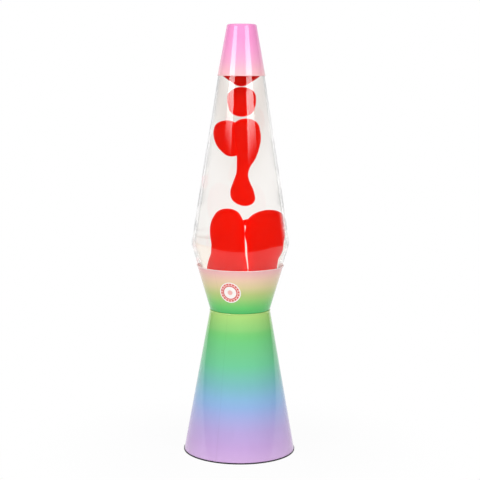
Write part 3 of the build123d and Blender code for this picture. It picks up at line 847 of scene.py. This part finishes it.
@dataclass
class Studio:
    """Camera, pale floor, white background and three soft boxes, two of them seen in gloss.

    Brightness is given with the white background as 1. "Mirrored" is what the gloss of the glass and
    the lacquer shows, and "through" is what the bottle shows behind it.
    """

    camera_side: float = -0.4
    camera_distance: float = 1205.7
    camera_height: float = 364.2
    camera_pitch: float = 7.73      # degrees down
    camera_roll: float = 0.35       # degrees
    focal_length: float = 97.55
    sensor_width: float = 36.0
    floor_reach: float = 9000.0
    shadow_zone: Corner = (60.0, 220.0)     # away from the lamp, where its shadow dies out
    shadow_share: float = 0.06              # of the lit paper that is seen right at the lamp
    ambient: float = 0.45
    room: float = 0.02                      # brightness of the dark room, mirrored
    sweep_front: Corner = (-414.0, -360.0)  # from the room to the white paper towards the camera, mirrored
    sweep_side: Corner = (1150.0, 1495.0)   # from the white paper to the room at either side, mirrored
    wall_zone: Corner = (0.4, 0.65)         # share of a ray's heading to the back, from the room to the wall
    ceiling_zone: Corner = (0.6, 0.9)       # share of its heading up, from the room to the ceiling
    far_tone: str = "#ede8e5"               # the paper where it rises to the wall, through
    far_start: Corner = (1000.0, 1800.0)    # where that tone begins
    far_end: Corner = (1900.0, 2500.0)      # where it ends
    far_rest: float = 0.2                   # share of that tone beyond
    wall_tone: str = "#fdf6ee"              # the wall, through
    boxes: tuple[SoftBox, ...] = (
        SoftBox(-47.0, 1300.0, 585.0, 1100.0, 640.0, 7.2, 1.0),
        SoftBox(38.5, 1300.0, 575.0, 1100.0, 720.0, 7.0, 1.0),
        SoftBox(-14.0, 1500.0, 500.0, 1700.0, 900.0, 3.3, mirrored=False),
    )

    def build(self) -> None:
        """Sets up everything that isn't the lamp."""
        self.place_camera()
        self.lay_floor()
        self.light_world()
        for index, box in enumerate(self.boxes):
            box.build(f"soft_box_{index + 1}")
        bpy.context.scene.view_settings.view_transform = "Standard"

    def place_camera(self) -> None:
        """Stands the camera where the photograph was taken."""
        data = bpy.data.cameras.new("camera")
        data.lens = self.focal_length
        data.sensor_width = self.sensor_width
        data.clip_start = 0.01
        data.clip_end = 100.0
        camera = hung("camera", data)
        look = Matrix.Rotation(math.radians(90.0 - self.camera_pitch), 4, "X")
        roll = Matrix.Rotation(math.radians(self.camera_roll), 4, "Z")
        place = Matrix.Translation(Vector((self.camera_side, -self.camera_distance, self.camera_height)) * MM)
        camera.matrix_world = place @ look @ roll
        bpy.context.scene.camera = camera

    @staticmethod
    def seen(tree: Tree) -> Socket:
        """Tells what is seen from what only lights the object.

        Args:
            tree: node tree of the surroundings.

        Returns:
            1 for rays of the camera and of reflections and refractions, 0 for others.
        """
        path = rays(tree)
        pair = calc(tree, "MAXIMUM", path["Is Camera Ray"], path["Is Glossy Ray"])
        return calc(tree, "MAXIMUM", pair, path["Is Transmission Ray"])

    @staticmethod
    def in_gloss(tree: Tree, shown: Socket) -> Socket:
        """Keeps a brightness to mirrored rays.

        Args:
            tree: node tree of the surroundings.
            shown: the brightness.

        Returns:
            That brightness for mirrored rays, 1 for others.
        """
        path = rays(tree)
        mirrored = calc(tree, "SUBTRACT", path["Is Glossy Ray"], path["Is Transmission Ray"], clamp=True)
        return blend(tree, mirrored, 1.0, shown, data_type="FLOAT")

    def lay_floor(self) -> None:
        """Lays a pale floor that keeps the object's shadow near it and is plain white farther out."""
        reach = self.floor_reach * MM
        mesh = bpy.data.meshes.new("floor")
        corners = [(reach * x, reach * y, 0.0) for x, y in ((-1, -1), (1, -1), (1, 1), (-1, 1))]
        mesh.from_pydata(corners, [], [(0, 1, 2, 3)])
        mesh.materials.append(self.paper())
        floor = hung("floor", mesh)

    def paper(self) -> bpy.types.Material:
        """White sweep of matt paper: lit near the lamp, plain white farther out."""
        made = bpy.data.materials.new("white_paper_sweep")
        made.use_nodes = True
        tree = made.node_tree
        lit = tree.nodes["Principled BSDF"]
        fill(tree, lit, {"Base Color": linear("#f4f4f4"), "Roughness": 0.9, "Specular IOR Level": 0.0})
        place = spot(tree)
        away = add(tree, "ShaderNodeVectorMath", {0: place}, operation="LENGTH").outputs["Value"]
        plain = remap(tree, away, scaled(self.shadow_zone), (1.0 - self.shadow_share, 1.0), smooth=True)
        start = remap(tree, away, scaled(self.far_start), smooth=True)
        end = remap(tree, away, scaled(self.far_end), (1.0, self.far_rest), smooth=True)
        through = calc(tree, "MULTIPLY", calc(tree, "MULTIPLY", start, end), rays(tree)["Is Transmission Ray"])
        sides = axes(tree, place)
        front = remap(tree, sides["Y"], scaled(self.sweep_front), (self.room, 1.0))
        aside = remap(tree, calc(tree, "ABSOLUTE", sides["X"]), scaled(self.sweep_side), (1.0, self.room))
        glow = add(tree, "ShaderNodeEmission", {
            "Color": blend(tree, through, WHITE, linear(self.far_tone)),
            "Strength": self.in_gloss(tree, calc(tree, "MINIMUM", front, aside))})
        share = calc(tree, "MULTIPLY", plain, self.seen(tree))
        mixed = add(tree, "ShaderNodeMixShader", {
            0: share, 1: lit.outputs["BSDF"], 2: glow.outputs["Emission"]})
        fill(tree, tree.nodes["Material Output"], {"Surface": mixed.outputs["Shader"]})
        return made

    def light_world(self) -> None:
        """Shows white to the camera and a white wall and ceiling to reflections, and lights softly."""
        world = bpy.data.worlds.new("studio")
        world.use_nodes = True
        tree = world.node_tree
        heading = axes(tree, add(tree, "ShaderNodeTexCoord").outputs["Generated"])
        wall = remap(tree, heading["Y"], self.wall_zone, (self.room, 1.0), smooth=True)
        ceiling = remap(tree, heading["Z"], self.ceiling_zone, (self.room, 1.0), smooth=True)
        shown = self.in_gloss(tree, calc(tree, "MAXIMUM", wall, ceiling))
        level = blend(tree, self.seen(tree), self.ambient, shown, data_type="FLOAT")
        tone = blend(tree, rays(tree)["Is Transmission Ray"], WHITE, linear(self.wall_tone))
        fill(tree, tree.nodes["Background"], {"Color": tone, "Strength": level})
        bpy.context.scene.world = world


@dataclass
class BaseShells:
    """Cone, cup, eyelet, seat, rubber ring, bush and sticker of the base."""

    cone: GradientLacquer = GradientLacquer("lacquered_cone", (
        (0.0, "#dab7e6"), (14.0, "#ccabe1"), (28.0, "#beabe1"), (44.0, "#a5b4e7"), (51.0, "#96b9e6"),
        (58.0, "#8ebde0"), (70.0, "#80c2c5"), (88.0, "#75cf9e"), (98.0, "#77cf92"), (109.0, "#76d186"),
        (114.4, "#79d17d"), (117.2, "#80d27b"), (120.0, "#8fd47e"), (136.0, "#b7de7e")), 24.0)
    # The cup's print by height; its last stop, near white on the rolled rim, is a painted highlight.
    cup: GradientLacquer = GradientLacquer("lacquered_cup", (
        (135.0, "#40b860"), (141.0, "#62cb67"), (144.0, "#76cc6a"), (148.0, "#94ce70"), (154.0, "#b8cc7a"),
        (161.0, "#ddcd98"), (168.0, "#ecc9ac"), (174.0, "#efbab6"), (176.5, "#f3b7b9"), (177.3, "#ffefec")),
        36.0, inside="#ece3df")
    # Vulcanised rubber, moulded: deep black with a soft, slightly dusty sheen.
    rubber: Worked = Worked("moulded_black_rubber", "#1b1b1c", "#101011", 0.7, 0.5, 0.68, depth=0.01)
    # Brass eyelet under nickel, rolled over: a warm grey metal with fine turning marks.
    eyelet: Worked = Worked(
        "nickelled_brass", "#d8d2c6", "#b9b2a5", 0.9, 0.2, 0.32, 1.0, 0.002, (8.0, 8.0, 0.3))
    # Silicone, moulded: milky and matt.
    silicone: Worked = Worked("moulded_silicone", "#e9e7e2", "#dcd9d3", 1.2, 0.45, 0.6, depth=0.005)
    # Nylon bush, moulded: black with a dull shine.
    bush: Worked = Worked("moulded_black_nylon", "#1e1e1f", "#141415", 0.8, 0.35, 0.5, depth=0.004)
    sticker_radius: float = 9.8
    sticker_height: float = 156.3
    sticker_turn: float = 15.5
    sticker_reach: float = 34.3

    def build(self, frame: dict) -> None:
        """Dresses the base's outside."""
        dress(frame, self.cone, "lower_cone")
        dress(frame, self.cup, "upper_cup")
        dress(frame, self.rubber, "foot_ring")
        dress(frame, self.eyelet, "waist_eyelet")
        dress(frame, self.silicone, "bottle_seat_ring")
        dress(frame, self.bush, "cable_bush")
        turn = math.radians(self.sticker_turn)
        centre = (
            -self.sticker_reach * math.sin(turn), -self.sticker_reach * math.cos(turn), self.sticker_height)
        paper = StickerPaper("printed_sticker_paper", centre, self.sticker_radius, self.sticker_turn)
        dress(frame, paper, "round_sticker")


@dataclass
class Underside:
    """Bottom plate with its screws, and the strap that carries the holder."""

    # Steel sheet, powder coated black: an even, fine-grained skin.
    plate: Worked = Worked("powder_coated_steel", "#2a2a2b", "#1b1b1c", 0.5, 0.5, 0.65, depth=0.02)
    # Steel, zinc plated and passivated: bright grey with cloudy, faintly blue patches.
    zinc: Worked = Worked("zinc_plated_steel", "#c6cbd0", "#a2a7ab", 1.6, 0.24, 0.4, 1.0, 0.003)

    def build(self, frame: dict) -> None:
        """Dresses the plate, the fasteners and the strap."""
        dress(frame, self.plate, "bottom_plate")
        dress(frame, self.zinc, "plate_tabs", "plate_screws", "holder_strap", "strap_screws", "strap_nuts",
              "holder_nipple", "holder_lock_nut")


@dataclass
class LampHolder:
    """Ceramic lamp holder with its brass parts."""

    # Steatite, pressed, fired and half glazed: warm white with a soft shine and tiny specks.
    ceramic: Worked = Worked("fired_steatite", "#efece3", "#ddd8cb", 0.9, 0.28, 0.5, depth=0.01)
    # Brass sheet, drawn: yellow metal with fine marks round the shell.
    brass: Worked = Worked("drawn_brass", "#d9b25c", "#b98f3e", 0.7, 0.22, 0.38, 1.0, 0.003, (6.0, 6.0, 0.4))

    def build(self, frame: dict) -> None:
        """Dresses the holder."""
        dress(frame, self.ceramic, "holder_body")
        dress(frame, self.brass, "holder_threaded_shell", "holder_centre_contact", "holder_terminal_screws")


@dataclass
class ReflectorBulb:
    """Small reflector bulb with a coiled filament."""

    coil_radius: float = 0.45
    wire_radius: float = 0.09
    coils: int = 30
    coil_steps: int = 12        # points in one turn
    coil_end: float = 0.1       # left free at either end
    glass: ReflectorGlass = ReflectorGlass("silvered_bulb_glass", 112.0)
    # Nickel-plated steel, rolled with a thread: bright, slightly warm metal.
    shell: Worked = Worked(
        "rolled_nickel_steel", "#cfcdc6", "#adaaa2", 0.8, 0.2, 0.34, 1.0, 0.003, (6.0, 6.0, 0.5))
    # Black vitrite glass, pressed: glossy and nearly black.
    vitrite: Worked = Worked("pressed_black_glass", "#17151a", "#0e0d10", 1.2, 0.08, 0.18)
    # Lead-free solder, frozen from a drop: dull silver with a cloudy skin.
    solder: Worked = Worked("frozen_solder", "#b9bbbd", "#94979a", 0.7, 0.3, 0.5, 1.0, 0.02)
    # Tungsten wire, drawn and coiled: dark grey metal.
    tungsten: Worked = Worked("coiled_tungsten", "#8b8a88", "#5f5e5c", 0.3, 0.3, 0.5, 1.0)
    # Clear stem glass, drawn and pinched.
    stem: Clear = Clear("pinched_stem_glass", 1.5, "#dfe9e4", 4.0)

    def build(self, frame: dict) -> None:
        """Dresses the bulb and winds its filament."""
        dress(frame, self.glass, "bulb_envelope")
        dress(frame, self.shell, "bulb_screw_shell")
        dress(frame, self.vitrite, "bulb_insulator")
        dress(frame, self.solder, "bulb_foot_contact")
        dress(frame, self.stem, "bulb_stem")
        dress(frame, self.tungsten, "bulb_leads")
        self.wind_filament()

    def wind_filament(self) -> None:
        """Winds the filament in place of its plain rod."""
        low, high = (Vector(corner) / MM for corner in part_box("bulb_filament"))
        middle = (low + high) / 2
        length = high.x - low.x - 2 * self.coil_end
        path = []
        for step in range(self.coils * self.coil_steps + 1):
            turn = math.tau * step / self.coil_steps
            path.append((low.x + self.coil_end + length * step / (self.coils * self.coil_steps),
                         middle.y + self.coil_radius * math.cos(turn),
                         middle.z + self.coil_radius * math.sin(turn)))
        mesh = swept("filament_coil", path, self.wire_radius, closed=False, sides=6)
        mesh.materials.append(self.tungsten.material())
        placed("filament_coil", mesh, Body.BULB, ("bulb_filament",))


@dataclass
class Bottle:
    """Glass bottle, its liquid and its crown closure."""

    seat_height: float = 139.0
    rim_height: float = 177.3
    shoulder_height: float = 197.5
    cap_rim_height: float = 353.0
    wall: float = 2.4
    floor_thickness: float = 4.2
    punt_depth: float = 1.5
    heel_reach: float = 27.79
    rim_glass_radius: float = 39.8
    cap_glass_radius: float = 21.4
    foot_ring_width: float = 5.5
    heel_round: float = 3.0
    shoulder_round: float = 18.0
    neck_base_round: float = 9.0
    neck_radius: float = 12.8
    neck_base_rise: float = 9.0
    neck_taper: float = 2.0
    neck_round: float = 3.0
    foot_round: float = 0.8
    finish_height: float = 373.0
    lip_height: float = 380.0
    lip_stand_out: float = 0.35
    lip_step: float = 1.0
    lip_rounds: tuple[float, float, float] = (0.5, 0.3, 1.0)    # under the step, on it and at the top
    arc_steps: int = 24
    liquid_level: float = 361.0
    film: float = 0.02          # between the liquid's mesh and the glass
    segments: int = 384
    # Soda-lime glass, blown in a mould: clear, with slow ripples that bend what is behind it.
    glass: Clear = Clear("blown_soda_lime_glass", 1.5, ripple=0.002, rim=0.35, tone="#fffdfb")
    # The same glass where the liquid wets it: only the small step of index is left, 1.5 over 1.36.
    wetted_glass: Clear = Clear("wetted_soda_lime_glass", 1.5 / 1.36)
    # Water with salts and a surfactant: clear with a breath of warm white where it is deep.
    liquid: Clear = Clear("clear_lamp_liquid", 1.36, "#f0e4d2", 1.6, surface=liquid_level)
    # Tinplate, pressed in flutes: bright, faintly blue steel.
    crown: Worked = Worked("pressed_tinplate", "#cdd0d3", "#aaaeb2", 0.9, 0.18, 0.32, 1.0, 0.002)
    # Foamed liner of the crown: soft white.
    liner: Worked = Worked("foamed_liner", "#e8e6df", "#d8d5cb", 0.5, 0.6, 0.8, depth=0.02)

    @staticmethod
    def along(height: float, low: Corner, high: Corner) -> float:
        """Radius at a height on the line between two (radius, height) points.

        Args:
            height: where the radius is wanted.
            low: lower point.
            high: upper point.

        Returns:
            The radius there.
        """
        return low[0] + (high[0] - low[0]) * (height - low[1]) / (high[1] - low[1])

    @property
    def shoulder_radius(self) -> float:
        """Outside of the shoulder, before its rounding."""
        return self.along(self.shoulder_height, (self.heel_reach, self.seat_height),
                          (self.rim_glass_radius, self.rim_height))

    def taper(self, height: float) -> float:
        """Outside radius above the shoulder."""
        return self.along(height, (self.shoulder_radius, self.shoulder_height),
                          (self.cap_glass_radius, self.cap_rim_height))

    def heel_cone(self, height: float) -> float:
        """Outside radius below the shoulder."""
        return self.along(height, (self.heel_reach, self.seat_height),
                          (self.shoulder_radius, self.shoulder_height))

    def inside(self, inset: float, top: float, open_top: bool) -> list[Corner]:
        """Half outline of the hollow, drawn in by inset.

        Args:
            inset: distance from the glass, negative to reach into it.
            top: height where the outline ends.
            open_top: whether the last point stays on the wall, for the glass itself.

        Returns:
            Points from the axis up the wall.
        """
        wall = self.wall + inset
        low = self.seat_height + self.floor_thickness + inset
        neck_base = self.cap_rim_height + self.neck_base_rise
        line = rounded([
            (0.0, low), (self.heel_cone(low) - wall, low), (self.shoulder_radius - wall, self.shoulder_height),
            (self.taper(neck_base) - wall, neck_base), (self.neck_radius - wall, neck_base + self.neck_taper),
            (self.neck_radius - wall, self.lip_height),
        ], [0, self.heel_round, self.shoulder_round - wall, self.neck_base_round - wall, self.neck_round, 0],
            self.arc_steps)
        if top >= self.lip_height:
            return line
        kept = [point for point in line if point[1] < top]
        ahead = line[len(kept)]
        kept.append((self.along(top, kept[-1], ahead), top))
        return kept if open_top else [*kept, (0.0, top)]

    def glass_outline(self) -> list[Corner]:
        """Half outline of the glass, outside first and back down the inside."""
        neck_base = self.cap_rim_height + self.neck_base_rise
        foot_inner = self.heel_reach - self.foot_ring_width
        lip = self.neck_radius + self.lip_stand_out
        outside = rounded([
            (0.0, self.seat_height + self.punt_depth),
            (foot_inner - self.punt_depth, self.seat_height + self.punt_depth),
            (foot_inner, self.seat_height), (self.heel_reach, self.seat_height),
            (self.shoulder_radius, self.shoulder_height), (self.taper(neck_base), neck_base),
            (self.neck_radius, neck_base + self.neck_taper), (self.neck_radius, self.finish_height),
            (lip, self.finish_height + self.lip_step), (lip, self.lip_height),
            (self.neck_radius - self.wall, self.lip_height),
        ], [0, self.foot_round, self.foot_round, self.heel_round, self.shoulder_round, self.neck_base_round,
            self.neck_round, *self.lip_rounds, 0], self.arc_steps)
        dry = [point for point in self.inside(0.0, self.lip_height, True)[:-1] if point[1] > self.liquid_level]
        wet = self.inside(0.0, self.liquid_level, True)
        return [*outside, *reversed(dry), *reversed(wet)]

    def build(self, frame: dict) -> None:
        """Turns the glass and the liquid, and dresses the closure."""
        outline = self.glass_outline()
        wetted = len(self.inside(0.0, self.liquid_level, True)) - 1
        glass = turned("bottle_body", outline, self.segments)
        for finish in (self.glass, self.wetted_glass):
            glass.materials.append(finish.material())
        for face in glass.polygons:
            face.material_index = int(face.index // self.segments >= len(outline) - 1 - wetted)
        placed("bottle_body", glass, Body.BOTTLE, ("bottle_glass",))
        liquid = turned("liquid_body", self.inside(self.film, self.liquid_level, False), self.segments)
        liquid.materials.append(self.liquid.material())
        placed("liquid_body", liquid, Body.BOTTLE, ("liquid",))
        dress(frame, self.crown, "crown_cap")
        dress(frame, self.liner, "crown_liner")


@dataclass
class WaxFlow:
    """Red wax in the bottle, caught as it rises, and the wire coil under it."""

    # Red of the wax by height; the darker stops from 330 up are painted shade under the cap.
    wax: DyedWax = DyedWax("dyed_paraffin", (
        (143.0, "#fa2614"), (186.0, "#fb1c0a"), (200.0, "#fb1504"), (215.0, "#ff1604"), (270.0, "#fd1605"),
        (330.0, "#f31406"), (344.0, "#d80f05"), (361.0, "#c40c04")))
    # Spring steel wire, drawn and coiled: dark grey and slightly oily.
    wire: Worked = Worked("coiled_spring_wire", "#9a9c9e", "#6c6e70", 0.4, 0.25, 0.45, 1.0, 0.002)
    coil_height: float = 144.9
    coil_ring_radius: float = 19.0
    coil_radius: float = 1.1
    wire_radius: float = 0.42
    coils: int = 72
    coil_steps: int = 14        # points in one turn
    segments: int = 128         # faces round the pool and the puddle
    ball_voxel: float = 0.5
    bridge_voxel: float = 0.4
    bridge_passes: int = 4
    pool_outline: Outline = (
        (0.0, 342.3), (1.6, 342.5), (3.5, 343.3), (5.0, 344.5), (6.4, 345.9), (8.1, 347.4), (9.9, 348.9),
        (11.8, 350.8), (13.2, 352.6), (14.2, 355.0), (14.6, 357.5), (14.2, 359.0), (12.8, 359.5), (0.0, 359.5))
    round_blob: Chains = (
        ((0.3, 0.0, 332.2, 9.75), (0.3, 0.0, 327.8, 9.75), (0.3, 0.0, 323.5, 9.0)),
    )
    long_blob: Chains = (
        ((3.3, 0.0, 303.6, 9.4), (3.8, 0.0, 295.0, 9.9), (4.1, 0.0, 286.5, 8.5), (3.7, 0.0, 278.0, 6.7),
         (1.9, 0.0, 270.0, 4.9), (0.9, 0.0, 262.0, 4.2), (0.5, 0.0, 256.0, 5.2), (0.5, 0.0, 250.0, 6.8),
         (0.8, 0.0, 245.4, 8.1), (1.4, 0.0, 241.5, 8.3), (3.0, 0.0, 239.0, 7.1)),
    )
    lobe: Chains = (
        ((-9.4, 3.2, 302.2, 8.7), (-9.2, 3.2, 297.5, 9.3), (-8.0, 2.6, 290.5, 8.9), (-6.3, 1.6, 284.4, 6.8)),
    )
    columns: Chains = (
        ((-9.0, 0.0, 219.9, 9.7), (-9.1, 0.0, 213.6, 11.8), (-9.1, 0.0, 206.0, 12.2), (-8.4, 0.0, 193.0, 11.8),
         (-9.0, 0.0, 178.0, 14.0), (-9.4, 0.0, 160.0, 13.4)),
        ((21.6, 0.0, 216.3, 11.6), (18.1, 0.0, 208.5, 14.9), (17.6, 0.0, 200.0, 13.6), (16.0, 0.0, 190.0, 11.2),
         (15.7, 0.0, 178.0, 10.2), (15.5, 0.0, 160.0, 9.8)),
        ((10.2, 1.0, 214.6, 7.0), (15.0, 0.5, 216.3, 10.2), (19.3, 0.0, 216.4, 12.0), (21.6, 0.0, 216.3, 11.6)),
    )
    bridge: Chains = (
        ((3.2, 4.5, 216.0, 2.8), (4.8, 4.5, 216.4, 2.9), (6.4, 4.5, 216.0, 2.8)),
    )
    puddle_outline: Outline = (
        (0.0, 143.3), (23.0, 143.3), (24.4, 144.0), (25.0, 145.6), (24.4, 147.4), (22.5, 148.0), (0.0, 148.0))

    def build(self, _frame: dict) -> None:
        """Builds the wax forms and winds the coil."""
        material = self.wax.material()
        parts = (
            ("wax_pool", "wax_top_pool", Body.BOTTLE, turned, (self.pool_outline, self.segments)),
            ("wax_ball", "wax_round_blob", Body.ROUND_BLOB, fused, (self.round_blob, self.ball_voxel)),
            ("wax_drift", "wax_long_blob", Body.LONG_BLOB, fused, (self.long_blob,)),
            ("wax_lobe", "wax_long_blob", Body.LONG_BLOB, fused, (self.lobe,)),
            ("wax_column_left", "wax_bottom_mass", Body.BOTTLE, fused, (self.columns[:1],)),
            ("wax_column_right", "wax_bottom_mass", Body.BOTTLE, fused, (self.columns[1:],)),
            ("wax_bridge", "wax_bottom_mass", Body.BOTTLE, fused,
             (self.bridge, self.bridge_voxel, self.bridge_passes)),
            ("wax_puddle", "wax_bottom_mass", Body.BOTTLE, turned, (self.puddle_outline, self.segments)),
        )
        for name, node, body, shape, values in parts:
            mesh = shape(name, *values)
            mesh.materials.append(material)
            placed(name, mesh, body, (node,))
        self.wind_coil()

    def wind_coil(self) -> None:
        """Winds the wire into a closed ring."""
        steps = self.coils * self.coil_steps
        path = []
        for step in range(steps):
            round_ring = math.tau * step / steps
            round_wire = round_ring * self.coils
            reach = self.coil_ring_radius + self.coil_radius * math.cos(round_wire)
            path.append((reach * math.cos(round_ring), reach * math.sin(round_ring),
                         self.coil_height + self.coil_radius * math.sin(round_wire)))
        mesh = swept("wire_coil", path, self.wire_radius, closed=True, sides=8)
        mesh.materials.append(self.wire.material())
        placed("wire_coil", mesh, Body.BOTTLE, ("coil_ring",))


@dataclass
class Cap:
    """Tapered cap over the neck."""

    lacquer: GradientLacquer = GradientLacquer("lacquered_cap", (
        (352.0, "#fdc8ca"), (358.0, "#fec0ce"), (366.0, "#fcb0d2"), (376.0, "#fca5d4"), (388.0, "#fb9cd3"),
        (400.0, "#fb9bd4")), 140.0)

    def build(self, frame: dict) -> None:
        """Dresses the cap."""
        dress(frame, self.lacquer, "cap_shell")


def main() -> None:
    """Builds the lamp and its studio in order."""
    logging.basicConfig(level=logging.INFO, format="%(name)s: %(message)s")
    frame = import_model()
    Studio().build()
    for part in (BaseShells(), Underside(), LampHolder(), ReflectorBulb(), Bottle(), WaxFlow(), Cap()):
        part.build(frame)


if __name__ == "__main__":
    main()
